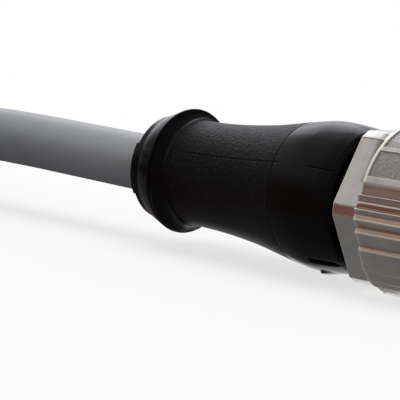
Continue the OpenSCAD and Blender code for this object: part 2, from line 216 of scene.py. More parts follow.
def eased(t):
    """0 to 1, slow at both ends."""
    return 0.5 - 0.5 * math.cos(math.pi * min(max(t, 0), 1))


def cable_height(x):
    """Height of the cable's middle: a slight rise from the collar, then down to the table."""
    down = eased((BEND_X - x) / DROP_RUN)
    rise = RISE * min((COLLAR_REAR - x) / RISE_RUN, 1)
    return rise * (1 - down) + (HANK_Z + CABLE_D / 2) * down


cable_route = [
    (x, HANK_OUTER_Y * eased((BEND_X - x) / ASIDE_RUN), cable_height(x))
    for x in [*STRAIGHT_X, *range(BEND_X, HANK_NEAR - 3, -4)]
]
print("route points", len(cable_route), "from x", COLLAR_REAR, "to", cable_route[-1][0], "mm")

# %% Sides and ends of a turn
SIDE_STEPS, END_STEPS = 10, 24


def straight_side(words, side, x_from, x_to):
    """Points along a straight side, with the lane changes that its words name."""
    places = [lane_place(word, side) for word in words.split()]
    parts = max(1, len(places) - 1)
    line = []
    for i in range(parts):
        (y0, z0), (y1, z1) = places[i], places[min(i + 1, len(places) - 1)]
        for t in np.arange(SIDE_STEPS) / SIDE_STEPS:
            x = x_from + (x_to - x_from) * (i + t) / parts
            line.append((x, y0 + (y1 - y0) * eased(t), z0 + (z1 - z0) * eased(t)))
    return line


def half_circle(x, start, finish, bulge):
    """Points round one end of the hank, which bulges to +x or -x."""
    (y0, z0), (y1, z1) = start, finish
    middle, r = (y0 + y1) / 2, abs(y0 - y1) / 2
    return [
        (x + bulge * r * math.sin(math.pi * t), middle + (y0 - middle) * math.cos(math.pi * t),
         z0 + (z1 - z0) * eased(t))
        for t in np.arange(END_STEPS) / END_STEPS
    ]


print("points in a side", SIDE_STEPS, "to", 2 * SIDE_STEPS, "and in an end", END_STEPS)

# %% Lay the hank
hank_line = []
for number, (first, second) in enumerate(TURNS):
    last_turn = number == len(TURNS) - 1
    hank_line += straight_side(first, 1, HANK_NEAR, HANK_FAR)
    far_ends = lane_place(first.split()[-1], 1), lane_place(second.split()[0], -1)
    hank_line += half_circle(HANK_FAR, *far_ends, -1)
    hank_line += straight_side(second, -1, HANK_FAR, HANK_END if last_turn else HANK_NEAR)
    if not last_turn:
        after = TURNS[number + 1][0].split()[0]
        hank_line += half_circle(HANK_NEAR, lane_place(second.split()[-1], -1), lane_place(after, 1), 1)
hank_line.append((HANK_END, *lane_place("I4", -1)))

free_run = catmull(cable_route[:-1], 3)
cable_line = np.vstack([free_run, hank_line]) * MM
cable_length = float(np.linalg.norm(np.diff(cable_line, axis=0), axis=1).sum())
print("cable points", len(cable_line), "length", round(cable_length, 3), "m")

# %% Make the cable
cable = tube("cable", cable_line, CABLE_D / 2 * MM, sides=40, end_round=0.25)
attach(cable, "plug")
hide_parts("cable_run", "cable_hank")
print("cable faces", len(cable.data.polygons))

# %% [markdown]
# ## The stripped end
#
# At its open end the sheath is cut back and five cores come out, each with its own colour and
# a few millimetres of tinned strands. The cores are tubes again. A bare conductor could be one
# thin cylinder, but a fine-stranded one is seven thin wires round each other, which is seven
# short tubes on helixes, so the twist shows.

# %% Where the cores go
CORE_D = 1.3
CORE_R = 1.5
LEAD_LEN, STRIP_LEN, LEAD_DROP, LEAD_SPREAD = 38, 7, 12, 2.1
LEAD_CENTRE_Y = HANK_CENTRE_Y - LANE_R["I"] - CABLE_D / 2
HANK_TOP = HANK_Z + 3 * CABLE_D
BOND = 0.02
CORES = {
    "brown": (135, -2), "white": (45, 2), "blue": (-45, 1), "black": (-135, -1), "grey": (None, 0),
}


def core_place(angle):
    """Place of a core in the cable's section; the middle one has no angle."""
    if angle is None:
        return 0.0, 0.0
    return CORE_R * math.cos(math.radians(angle)), CORE_R * math.sin(math.radians(angle))


def lead_route(angle, lane):
    """From the cut sheath down to the top of the hank, each core into its own lane."""
    across, upward = core_place(angle)
    lane_y = LEAD_CENTRE_Y + LEAD_SPREAD * lane
    low, high = HANK_TOP + CORE_D / 2 + BOND, HANK_TOP + CABLE_D / 2
    start = HANK_CENTRE_Y - LANE_R["I"] + across
    return [
        (HANK_END, start, high + upward), (HANK_END + 3, start, high + upward),
        (HANK_END + LEAD_DROP * 0.6, (start + lane_y) / 2, (high + upward + low) / 2),
        (HANK_END + LEAD_DROP, lane_y, low),
        (HANK_END + LEAD_DROP + 6, lane_y, low),
        (HANK_END + LEAD_LEN - STRIP_LEN, lane_y, low),
    ]


print("cores end", LEAD_LEN - STRIP_LEN, "mm past the sheath")

# %% Fine strands
WIRE_R, WIRE_TWIST = 0.125, 1.4


def strands(name, start, length):
    """Seven thin wires, six of them twisted round the one in the middle."""
    points, faces = [], []
    t = np.linspace(0, 1, 25)
    for k in range(7):
        angle = 2 * math.pi * (k / 6 + WIRE_TWIST * t)
        off = 0 if k == 6 else 2 * WIRE_R
        path = np.stack([start[0] + length * t, start[1] + off * np.cos(angle),
                         start[2] + off * np.sin(angle)], axis=1)
        rows = tube_rings(path, WIRE_R, 10, 0.03)
        faces += grid_faces(len(rows), 10, first=len(points) * 10)
        points += rows
    return new_piece(name, np.vstack(points) * MM, faces, sharp=50)


print("a conductor of seven wires is about", 6 * WIRE_R, "mm thick")

# %% Make the cores and strands
leads, conductors = {}, {}
for colour, (angle, lane) in CORES.items():
    route = lead_route(angle, lane)
    line = catmull(route, 5) * MM
    leads[colour] = tube("core_end_" + colour, line, CORE_D / 2 * MM, sides=20, end_round=0.08)
    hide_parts("lead_" + colour)
    conductors[colour] = strands("strands_" + colour, route[-1], STRIP_LEN)
    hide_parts("conductor_" + colour)
for piece in [*leads.values(), *conductors.values()]:
    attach(piece, "plug")
print("cores", len(leads), "strands", len(conductors))

# %% [markdown]
# ## The two cable ties
#
# A nylon tie is pulled round the strands, so it runs straight between them and bends only
# round the outer ones. It could be a box with a hole, but a strap that ignores the strands looks
# like a bracket. Here the strap's path is the line round four circles, the corner strands,
# and a flat section with rounded edges is swept along it. Its head sits on the inside.

# %% Path of the strap
TIE_T, TIE_W = 0.8, 4.8
TIE_X = (HANK_NEAR + HANK_FAR) / 2
TIE_R = CABLE_D / 2 + BOND + TIE_T / 2


def rounded_box(half_a, half_b, radius, per_corner=4):
    """Outline of a rectangle with round corners, as points (a, b) round its middle."""
    out = []
    for k, (sa, sb) in enumerate([(1, 1), (-1, 1), (-1, -1), (1, -1)]):
        for step in range(per_corner + 1):
            angle = math.pi / 2 * (k + step / per_corner)
            out.append((sa * (half_a - radius) + radius * math.cos(angle),
                        sb * (half_b - radius) + radius * math.sin(angle)))
    return np.array(out)


def strap_path(side):
    """Points and outward directions of the strap's middle line, in the plane across the hank."""
    stations = [("I1", 180, 270), ("O1", 270, 360), ("O3", 0, 45), ("I4", 45, 180)]
    path = []
    for word, start, stop in stations:
        radius_y = LANE_R[word[0]]
        z = lane_place(word, side)[1]
        for angle in np.linspace(math.radians(start), math.radians(stop), 12):
            out = (math.cos(angle), math.sin(angle))
            path.append((radius_y + TIE_R * out[0], z + TIE_R * out[1], *out))
    return path


print("points round the hank", len(strap_path(1)))

# %% Head of a tie, and the whole tie
HEAD_HALF, HEAD_DEPTH, HEAD_Z = (2.8, 3.1), 3.2, 2.5
HEAD_FACE = [
    (0, 1), (0.25, 1), (0.8, 0.97), (0.97, 0.9), (1, 0.8), (1, 0.62), (0.75, 0.6), (0.7, 0.0),
]


def tie_head(side):
    """Head of the tie: a block that tapers to its face, with a sunk slot for the strap."""
    rows = []
    outline = rounded_box(*HEAD_HALF, 0.7)
    inner_y = LANE_R["I"] - CABLE_D / 2 - BOND - TIE_T * 0.6
    for step, scale in HEAD_FACE:
        wide, high = (outline * scale).T
        y = HANK_CENTRE_Y + side * (inner_y - HEAD_DEPTH * step)
        rows.append(np.stack([TIE_X + wide, np.full(len(wide), y), HEAD_Z + high], axis=1))
    return rows


def cable_tie(name, side):
    """Strap and head as one piece."""
    section = rounded_box(TIE_W / 2, TIE_T / 2, 0.25, 3)
    rows = []
    for y, z, out_y, out_z in strap_path(side):
        rows.append(np.array([
            (TIE_X + a, HANK_CENTRE_Y + side * (y + b * out_y), z + b * out_z) for a, b in section
        ]))
    faces = grid_faces(len(rows), len(section), closed=True)
    head = tie_head(side)
    first = len(rows) * len(section)
    faces += grid_faces(len(head), len(head[0]), first=first)
    back = list(range(first, first + len(head[0])))
    points = np.vstack(rows + head)
    return new_piece(name, points * MM, faces + [back])


print("rows in a head", len(tie_head(1)))

# %% Make the ties
ties = [cable_tie("cable_tie_outer", 1), cable_tie("cable_tie_inner", -1)]
for tie, node in zip(ties, ["hank_tie_outer", "hank_tie_inner"]):
    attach(tie, "plug")
    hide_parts(node)
print("ties at x", TIE_X, "mm, faces", [len(t.data.polygons) for t in ties])

# %% [markdown]
# ## Shader sums as Python
#
# A finish is mostly sums on masks and noises. Wiring Math nodes by hand hides the sum, so the
# class below wraps a socket: an expression such as `1 - mask * 0.5` adds its nodes by itself.
# Any other node comes from one method, `node`, which takes the node's type, its settings and
# what goes into its sockets. Colours are mixed by Mix nodes only.

# %% A socket that Python can calculate with


class Wire:
    """One output of one node; sums on it add Math nodes to the same tree."""

    def __init__(self, tree, socket=None):
        self.tree = tree
        self.socket = socket

    def node(self, kind, settings=(), inputs=(), out=0):
        """Adds any node: its settings first, then what goes into its sockets."""
        made = self.tree.nodes.new("ShaderNode" + kind)
        for key, value in dict(settings).items():
            setattr(made, key, value)
        for key, value in dict(inputs).items():
            if isinstance(value, Wire):
                self.tree.links.new(value.socket, made.inputs[key])
            else:
                made.inputs[key].default_value = value
        return Wire(self.tree, made.outputs[out])

    def sum(self, operation, *values, clamp=False):
        setup = {"operation": operation, "use_clamp": clamp}
        return self.node("Math", setup, dict(enumerate(values)))

    def __add__(self, other):
        return self.sum("ADD", self, other)

    def __radd__(self, other):
        return self.sum("ADD", other, self)

    def __sub__(self, other):
        return self.sum("SUBTRACT", self, other)

    def __rsub__(self, other):
        return self.sum("SUBTRACT", other, self)

    def __mul__(self, other):
        return self.sum("MULTIPLY", self, other)

    def __rmul__(self, other):
        return self.sum("MULTIPLY", other, self)

    def largest(self, other):
        return self.sum("MAXIMUM", self, other)

    def step(self, low, high):
        """0 below low, 1 above high, smooth between them."""
        setup = {"interpolation_type": "SMOOTHSTEP"}
        return self.node("MapRange", setup, {0: self, 1: low, 2: high, 3: 0.0, 4: 1.0})

    def mix(self, first, second):
        """A colour between two colours, this value being the share of the second."""
        first, second = (c if isinstance(c, Wire) else (*c, 1) for c in (first, second))
        return self.node("Mix", {"data_type": "RGBA"}, {0: self, 6: first, 7: second}, out=2)

    def place(self):
        return self.node("TexCoord", out="Object")

    def axis(self, name):
        return self.node("SeparateXYZ", (), {0: self.place()}, out=name)

    def marked(self, name):
        """An attribute that was kept on the mesh."""
        return self.node("Attribute", {"attribute_name": name}, out="Fac")

    def noise(self, size, detail=2.0):
        """Cloud noise whose blots are about size millimetres across."""
        setup = {"Scale": 1 / (size * MM), "Detail": detail, "Vector": self.place()}
        return self.node("TexNoise", (), setup)

    def bump(self, height, depth, strength, under=None):
        """Relief: height runs from 0 to 1 and depth is in millimetres."""
        inputs = {"Height": height, "Distance": depth * MM, "Strength": strength}
        if under:
            inputs["Normal"] = under
        return self.node("Bump", (), inputs)


print("operators ready:", [word for word in vars(Wire) if word.startswith("__r")])

# %% Finish a material


def new_finish(name):
    """An empty material and a wire into its tree."""
    material = bpy.data.materials.new(name)
    material.use_nodes = True
    material.node_tree.nodes.clear()
    return material, Wire(material.node_tree)


def into_surface(shader, output="OutputMaterial"):
    end = shader.tree.nodes.new("ShaderNode" + output)
    shader.tree.links.new(shader.socket, end.inputs["Surface"])


def close_finish(material, wire, **sockets):
    """Adds the Principled shader; a socket's underscores stand for spaces in its name."""
    inputs = {key.replace("_", " "): value for key, value in sockets.items()}
    into_surface(wire.node("BsdfPrincipled", (), inputs))
    return material


def dress(piece, material):
    piece.data.materials.clear()
    piece.data.materials.append(material)
    print(piece.name, "wears", material.name, "of", len(material.node_tree.nodes), "nodes")


# %% [markdown]
# ## The coupling screw
#
# The screw is the hardest piece: a hexagon behind, a finger grip of stepped ribs in front of
# it, two curved panels with sunk fields, and the thread. It could be cut with Boolean
# modifiers, but their edges take a Bevel badly. Seen along the axis every section of it
# is a curve with one radius for each angle, so the whole screw is one grid: rings of points
# whose radius comes from the section, with two or three rings close together at each edge.

# %% Sections of the screw
PANEL_R, STAIR_BASE = 7.85, 4.95
HEX_FLAT, HEX_CORNER = 7.0, 1.1
NUT_REAR, RIB_REAR = -10.5, -7.9
STAIR_TURN = -30
RIBS = [
    (5.25, 4.85), (5.95, 5.4), (6.05, 4.75), (6.2, 4.68), (6.35, 4.25), (6.85, 4.45),
    (6.87, 3.9), (7.35, 3.62), (7.15, 2.64), (7.6, 2.38), (7.4, 0.8), (7.73, 0.61),
    (7.8, -1.65), (7.6, -1.8), (7.6, -2.85), (7.35, -3.0), (7.35, -3.65), (6.85, -3.45),
    (6.85, -4.45), (5.95, -4.0), (5.95, -5.45), (4.95, -4.75),
]
EDGE_R = 0.1


def eased_corners(corners, radius, per=4):
    """An open line whose inner corners are rounded, as points."""
    p = np.array(corners, float)
    out = [p[0]]
    for before, corner, after in zip(p, p[1:], p[2:]):
        to_before, to_after = before - corner, after - corner
        reach_b, reach_a = np.linalg.norm(to_before), np.linalg.norm(to_after)
        cut = min(radius, 0.4 * reach_b, 0.4 * reach_a)
        start, stop = corner + to_before / reach_b * cut, corner + to_after / reach_a * cut
        for t in np.arange(per + 1) / per:
            out.append((1 - t) ** 2 * start + 2 * t * (1 - t) * corner + t * t * stop)
    return np.array(out + [p[-1]])


def to_polar(line):
    """Angle, in degrees, and radius of points given as height above and place across the stair."""
    return np.degrees(np.arctan2(line[:, 1], line[:, 0])), np.hypot(line[:, 0], line[:, 1])


print("corners of the stair", len(RIBS))

# %% Section of the ribbed grip
base_edge = math.sqrt(PANEL_R ** 2 - STAIR_BASE ** 2)
stair = eased_corners([(STAIR_BASE, base_edge), *RIBS, (STAIR_BASE, -base_edge)], EDGE_R)
stair_angle, stair_radius = to_polar(stair)
stair_angle = np.minimum.accumulate(stair_angle - np.arange(len(stair)) * 1e-4)
panel_angle = np.linspace(180 + stair_angle[-1], stair_angle[0], 66)[1:-1]
half_angle = np.concatenate([panel_angle, stair_angle])[::-1]
half_radius = np.concatenate([np.full(len(panel_angle), PANEL_R), stair_radius])[::-1]
rib_angle = np.concatenate([half_angle, half_angle + 180]) + STAIR_TURN
rib_radius = np.tile(half_radius, 2)
print("points in the rib section", len(rib_angle))

# %% Section of the hexagon
CORNER_EASE, CORNER_LOWER = 0.12, 0.012
half = HEX_CORNER / 2
reach = HEX_FLAT / math.cos(math.radians(30)) - half / math.sqrt(3)
span = math.degrees(math.atan2(half, reach))
ease = math.degrees(CORNER_EASE / reach)
hex_line = []
for corner in range(0, 360, 60):
    for side in (-1, 1):
        for shift, lower in ((-1, 0), (0, CORNER_LOWER), (1, 0)):
            angle = corner + side * span + shift * ease
            off = abs((angle - corner + 180) % 360 - 180)
            flat_r = HEX_FLAT / math.cos(math.radians(30 - off))
            facet_r = reach / math.cos(math.radians(off))
            hex_line.append((angle, min(flat_r, facet_r) - lower))
hex_line = sorted((a % 360, r) for a, r in hex_line)
hex_angle, hex_radius = np.array(hex_line).T
print("points in the hexagon", len(hex_angle))

# %% One set of angles for every ring
FIELDS = [(25, 45.5), (48.5, 71.5), (74.5, 95)]
FIELD_EDGE = 0.45
field_angles = [
    base + edge + shift
    for base in (0, 180) for span in FIELDS for edge in span for shift in (-FIELD_EDGE, 0, FIELD_EDGE)
]
all_angles = np.unique(np.round(np.concatenate([
    rib_angle % 360, hex_angle, np.array(field_angles) % 360, np.arange(0, 360, 3.0),
]), 3))


def radius_of(line_angle, line_radius, wanted):
    """Radius of a closed outline at the wanted angles, straight between its points."""
    order = np.argsort(line_angle % 360)
    a, r = line_angle[order] % 360, line_radius[order]
    a, r = np.concatenate([[a[-1] - 360], a, [a[0] + 360]]), np.concatenate([[r[-1]], r, [r[0]]])
    i = np.clip(np.searchsorted(a, wanted, side="right") - 1, 0, len(a) - 2)
    t0, t1, t = np.radians(a[i]), np.radians(a[i + 1]), np.radians(wanted)
    along = r[i] * r[i + 1] * np.sin(t1 - t0)
    return along / np.maximum(r[i] * np.sin(t - t0) + r[i + 1] * np.sin(t1 - t), 1e-9)


ribs_r = radius_of(rib_angle, rib_radius, all_angles)
hex_r = radius_of(hex_angle, hex_radius, all_angles)
turn = np.radians(all_angles)
print("columns", len(all_angles), "largest radius", round(float(ribs_r.max()), 3), "mm")


def ring(x, r):
    """Ring of points at station x; both may be one number or one per angle."""
    x, r = np.broadcast_to(x, turn.shape), np.broadcast_to(r, turn.shape)
    return np.stack([x, -r * np.cos(turn), r * np.sin(turn)], axis=1)


print("points in a ring", len(ring(0, 1)))

# %% [markdown]
# Where the lower ribs end behind, their corners are rounded in plan by about a millimetre. The
# ring at which the ribs begin simply bends forward there, because a ring may have its own
# station at each angle.

# %% Where the ribs begin
PANEL_EASE = 0.28
ROUND_DEPTH = 1.1
ROUNDED_RIBS = [(-26.55, -22.3, -3.65, -3.02), (-33.4, -26.55, -4.45, -3.5)]
STAIR_HALF = 45


def from_line(angle, line):
    """Degrees from a line through the axis, which runs both ways; -90 to 90."""
    return (angle - line + 90) % 180 - 90


stair_turned = from_line(all_angles, STAIR_TURN)
across = ribs_r * np.sin(np.radians(stair_turned))
on_stair = np.abs(stair_turned) < STAIR_HALF
rib_start = np.full(len(turn), float(RIB_REAR))
for low, high, rib_end, rib_from in ROUNDED_RIBS:
    near = (stair_turned > low) & (stair_turned <= high)
    into = np.clip((rib_from - across) / (rib_from - rib_end), 0, 1)
    rib_start = np.where(near, RIB_REAR + ROUND_DEPTH * (1 - np.sqrt(1 - into ** 2)), rib_start)

step_up = ribs_r - hex_r
on_panel = ~on_stair & (ribs_r > PANEL_R - 0.05)
edge = np.minimum(np.where(on_panel, PANEL_EASE, EDGE_R), np.abs(step_up))
proud = step_up > 0
print("ribs begin between x", RIB_REAR, "and", round(float(rib_start.max()), 2), "mm")

# %% The step between hexagon and ribs


def step_ring(stage):
    """The four rings of the step between hexagon and ribs, on whichever of them stands proud."""
    up_x, up_r = [(0, None), (0, 1), (0.3, 0.3), (1, 0)][stage]
    down_x, down_r = [(-1, 0), (-0.3, 0.3), (0, 1), (0, None)][stage]
    proud_r = hex_r if up_r is None else ribs_r - up_r * edge
    sunk_r = ribs_r if down_r is None else hex_r - down_r * edge
    return ring(rib_start + edge * np.where(proud, up_x, down_x), np.where(proud, proud_r, sunk_r))


print("the ribs stand proud at", int(proud.sum()), "of", len(proud), "angles")

# %% Sunk fields of the panels
FIELD_DEPTH, FIELD_REAR, FIELD_FRONT = 0.14, -7.5, -1.0
in_field = np.zeros(len(turn))
for base in (0, 180):
    for low, high in FIELDS:
        off = np.minimum((all_angles - base - low) % 360, (base + high - all_angles) % 360)
        inside = ((all_angles - base - low) % 360) <= (high - low)
        in_field = np.maximum(in_field, np.where(inside, np.clip(off / FIELD_EDGE, 0, 1), 0))
print("angles inside a field", int((in_field == 1).sum()))

# %% Outside of the screw
NUT_EASE_R, FRONT_R = 6.6, 7.2
HEX_MID, RIB_MID = -9.2, -4.2
CONE_R, CONE_X, CONE_SLOPE = 8.35, -0.8, 1.375


def rib_ring(x, depth):
    """Ring of ribs and panels, with the fields sunk by depth, but never behind their rear end."""
    station = np.maximum(x, rib_start + edge + 0.01 + 0.02 * (x - RIB_REAR))
    return ring(station, ribs_r - depth * in_field)


def front_ring(x):
    """Ring of the ribs' front end, cut back by a cone."""
    return ring(x, np.minimum(ribs_r, CONE_R - (x - CONE_X) * CONE_SLOPE))


outside = [
    ring(NUT_REAR, NUT_EASE_R), ring(NUT_REAR, hex_r - 0.15), ring(NUT_REAR + 0.04, hex_r - 0.05),
    ring(NUT_REAR + 0.15, hex_r), ring(HEX_MID, hex_r), ring(rib_start - edge - 0.12, hex_r),
    *[step_ring(k) for k in range(4)],
    rib_ring(FIELD_REAR, 0), rib_ring(FIELD_REAR + 0.06, FIELD_DEPTH), rib_ring(RIB_MID, FIELD_DEPTH),
    rib_ring(FIELD_FRONT - 0.06, FIELD_DEPTH), rib_ring(FIELD_FRONT, 0),
    *[front_ring(x) for x in (-0.7, -0.62, -0.5, -0.4, -0.25, -0.06)],
    ring(0, np.minimum(ribs_r, FRONT_R)),
]
print("rings outside", len(outside))

# %% [markdown]
# ## The thread
#
# A real M12 x 1 thread is a ridge that climbs one millimetre a turn. A Screw modifier could
# make it, but it would be a separate shell. In the grid each ring follows the ridge, so it
# rises by the pitch as it goes round and meets a higher ring where it closes. Both ends are
# held flat, and a cone trims the first turn as the real chamfer does.

# %% Thread
PITCH, THREAD_LEN, ROOT_R, CREST_R = 1.0, 6.5, 5.4, 5.98
thread_profile = [
    (0.0, CREST_R), (0.06, CREST_R), (0.1, CREST_R - 0.04), (0.4, ROOT_R + 0.05),
    (0.46, ROOT_R), (0.54, ROOT_R), (0.6, ROOT_R + 0.05), (0.9, CREST_R - 0.04), (0.94, CREST_R),
]
THREAD_TURNS = 9
END_R, RUN_OUT, RUN_OUT_RISE = 5.5, 0.5, 1.2


def thread_ring(index):
    """Ring that follows the ridge once round, held between the two flat ends."""
    lap, k = divmod(index, len(thread_profile))
    phase, r = thread_profile[k]
    x = (lap + phase - turn / (2 * math.pi) - 0.5) * PITCH
    held = np.clip(x, 0, THREAD_LEN)
    run_out = ROOT_R + np.clip(held - RUN_OUT, 0, None) * RUN_OUT_RISE
    chamfer = END_R + (THREAD_LEN - held)
    r = np.minimum(np.minimum(r, run_out), chamfer)
    r = np.where(x <= 0, ROOT_R, np.where(x >= THREAD_LEN, END_R, r))
    return ring(held, r)


thread = [thread_ring(i) for i in range(THREAD_TURNS * len(thread_profile))]
print("rings of the thread", len(thread))

# %% Bore, web and the whole screw
BORE_R, WEB_R, POCKET_R, FACE_R = 4.95, 4.62, 6.3, 6.3
WEB_FRONT, WEB_REAR, POCKET_REAR = -5.3, -7.3, -10.2
inside = [
    ring(THREAD_LEN, END_R), ring(THREAD_LEN, BORE_R + 0.1), ring(THREAD_LEN - 0.1, BORE_R),
    ring(WEB_FRONT, BORE_R), ring(WEB_FRONT, WEB_R), ring(WEB_REAR, WEB_R),
    ring(WEB_REAR, POCKET_R), ring(POCKET_REAR, POCKET_R), ring(NUT_REAR, NUT_EASE_R),
]
columns = len(turn)
shell = outside + [ring(0, FACE_R), ring(0, ROOT_R)]
faces = grid_faces(len(shell), columns)
first = len(shell) * columns
faces += grid_faces(len(thread), columns, first=first, seam=len(thread_profile))
first += len(thread) * columns
faces += grid_faces(len(inside), columns, first=first)
screw = new_piece("screw", np.vstack(shell + thread + inside) * MM, faces, sharp=38)
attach(screw, "coupling")
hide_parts("coupling_screw")
weighted = screw.modifiers.new("even normals", "WEIGHTED_NORMAL")
weighted.keep_sharp = True
print("screw faces", len(screw.data.polygons))

# %% [markdown]
# The plating doesn't look the same all over. It is matt in the sunk fields, and light and shade
# are painted into its colour: a painted warm reflection on the walls between the ribs, painted
# shade in the corner from which a panel rises, a painted dark reflection along one hexagon edge
# and painted highlights along the edges. A texture could be painted, but the mesh already knows
# all of it: walls are faces that point aside, an edge is where the surface curves most, and a
# field or a corner is known by its place. Each is kept as an attribute, which the finish reads later.

# %% Ways to mark a mesh


def edge_share(mesh, low, high):
    """For each point, how sharply the surface curves outwards there, from 0 to 1."""
    work = bmesh.new()
    work.from_mesh(mesh)
    share = np.zeros(len(work.verts))
    for vert in work.verts:
        area = sum(face.calc_area() for face in vert.link_faces) / 4
        bend = sum(e.calc_face_angle_signed(0) * e.calc_length() for e in vert.link_edges) / 4
        share[vert.index] = (bend / max(area, 1e-12) * MM - low) / (high - low)
    work.free()
    return np.clip(share, 0, 1)


def mark(piece, name, values, domain):
    """Keeps one number, or yes or no, for each face or point as an attribute."""
    values = np.asarray(values, float)
    piece.data.attributes.new(name, "FLOAT", domain).data.foreach_set("value", values)
    print(name, "marks", int((values > 0).sum()), "of", len(values))


# %% Mark walls, fields and corners
WALL_LEAN, FOOT_HALF, LINE_HALF = 14, 38, 0.95
facing, lies_at, at_x = [], [], []
for face in screw.data.polygons:
    middle = face.center / MM
    facing.append(math.degrees(math.atan2(face.normal.z, -face.normal.y)))
    lies_at.append(math.degrees(math.atan2(middle.z, -middle.y)))
    at_x.append(middle.x)
facing, lies_at, at_x = np.array(facing), np.array(lies_at), np.array(at_x)
# The walls between the ribs get a painted warm reflection in the finish.
leans = np.abs(from_line(facing, STAIR_TURN)) > WALL_LEAN
in_stair = np.abs(from_line(lies_at, STAIR_TURN)) < STAIR_HALF
on_ribs = (at_x > RIB_REAR + 0.05) & (at_x < -0.1)
mark(screw, "wall_reflection", on_ribs & in_stair & leans, "FACE")
sunk = np.zeros(len(at_x), bool)
for low, high in FIELDS:
    sunk |= ((lies_at - low) % 180 < high - low) & (at_x > FIELD_REAR) & (at_x < FIELD_FRONT)
mark(screw, "field", sunk, "FACE")
# The hexagon just behind each panel gets painted shade in the finish, where the rising panel would
# shade it.
on_hexagon = (at_x > NUT_REAR + 0.1) & (at_x < RIB_REAR + 0.02)
at_foot = np.abs(from_line(lies_at, STAIR_TURN + 90)) < FOOT_HALF
mark(screw, "panel_foot_shade", on_hexagon & at_foot, "FACE")
# One edge of the hexagon, and the one opposite, gets a painted dark reflection in the finish.
edge_at = 60 - math.degrees(math.atan2(HEX_CORNER / 2, HEX_FLAT / math.cos(math.radians(30))))
at_line = np.abs(from_line(lies_at, edge_at)) < LINE_HALF
mark(screw, "corner_dark_reflection", on_hexagon & at_line, "FACE")

# %% Mark the edges that get a painted highlight
PANEL_HALF = 51
LOWER_FROM, LOWER_TO = -45, -10
# Painted highlights go where the surface curves most, along each panel's rear edge and along the rear
# ends of the lower ribs.
x_at, y_at, z_at = np.array([v.co[:] for v in screw.data.vertices]).T / MM
point_angle = np.degrees(np.arctan2(z_at, -y_at))
turned_at = from_line(point_angle, STAIR_TURN)
behind_field = (x_at > RIB_REAR + 0.02) & (x_at < FIELD_REAR + 0.03)
far_out = np.hypot(y_at, z_at) > PANEL_R - 0.35
panel_rim = (np.abs(turned_at) > PANEL_HALF) & behind_field & far_out
rib_at = np.interp(point_angle % 360, all_angles, rib_start)
at_rib_end = np.abs(x_at - rib_at - 0.07) < 0.06
lower_rim = at_rib_end & (turned_at > LOWER_FROM) & (turned_at < LOWER_TO)
mark(screw, "rim", np.maximum(edge_share(screw.data, 0.6, 1.8), panel_rim | lower_rim), "POINT")

# %% [markdown]
# ## The moulded grip
#
# The grip is one moulding: a collar with a lip, a waisted neck with an eroded texture, and a
# smooth shoulder. A Screw modifier would turn its outline, but a turned body has none of the
# marks of its mould: the parting line along the side, the ring where the two textures meet,
# a sunk slot and a small coding wedge. So it is a grid of rings once more, with rings and
# columns set closer where a mark lies, and the marks are pushed in or out of the radius.

# %% Angles and outline of the grip
GRIP_FRONT = -11.6
grip_outline = [
    (0.5, 6.82), (2, 7.03), (4, 7.16), (5.5, 7.09), (8, 6.68), (11.5, 6.03),
    (15.2, 5.58), (18.8, 5.34), (21.6, 5.32),
]
PARTING, SLOT_ANGLE, WEDGE_ANGLE, TAB_ANGLE = 27, -54, -80, 30
grip_angles = [np.arange(0, 360, 2.5)]
for line in (PARTING, PARTING + 180):
    grip_angles.append(line + np.array([-0.7, -0.35, 0, 0.35, 0.7]))
grip_angles.append(SLOT_ANGLE + 360 + np.arange(-6, 6.01, 0.4))
grip_angles.append(WEDGE_ANGLE + 360 + np.arange(-8, 8.01, 0.8))
for line in (TAB_ANGLE, 180 - TAB_ANGLE, 180 + TAB_ANGLE, 360 - TAB_ANGLE):
    grip_angles.append(np.array([line - 0.4, line + 0.4]))
grip_angles = np.unique(np.round(np.concatenate(grip_angles) % 360, 3))
grip_turn = np.radians(grip_angles)
neck = catmull(grip_outline, 8)
print("grip columns", len(grip_angles))

# %% Marks of the mould
SEAM_X, SEAM_LEAN, SEAM_SWING = -18.55, -0.07, -0.05
SEAM_REACH, SEAM_DEPTH = 5, 0.01
PARTING_DEPTH, PARTING_DEPTH_REAR = 0.08, 0.05
SLOT_X, SLOT_HALF, SLOT_R, SLOT_DEPTH, SLOT_LEAN = -13.7, 1.2, 0.42, 0.5, 0.14
WEDGE_X, WEDGE_LEN, WEDGE_W, WEDGE_H = -15.5, 1.5, 1.6, 0.25


def smooth_step(value, low, high):
    t = np.clip((value - low) / (high - low), 0, 1)
    return t * t * (3 - 2 * t)


def angle_off(centre):
    """Degrees from a line on the grip, for each column."""
    return (grip_angles - centre + 180) % 360 - 180


def grip_ring(x, r):
    """Ring of the grip; both may be one number or one per column."""
    x, r = np.broadcast_to(x, grip_turn.shape), np.broadcast_to(r, grip_turn.shape)
    return np.stack([x, -r * np.cos(grip_turn), r * np.sin(grip_turn)], axis=1)


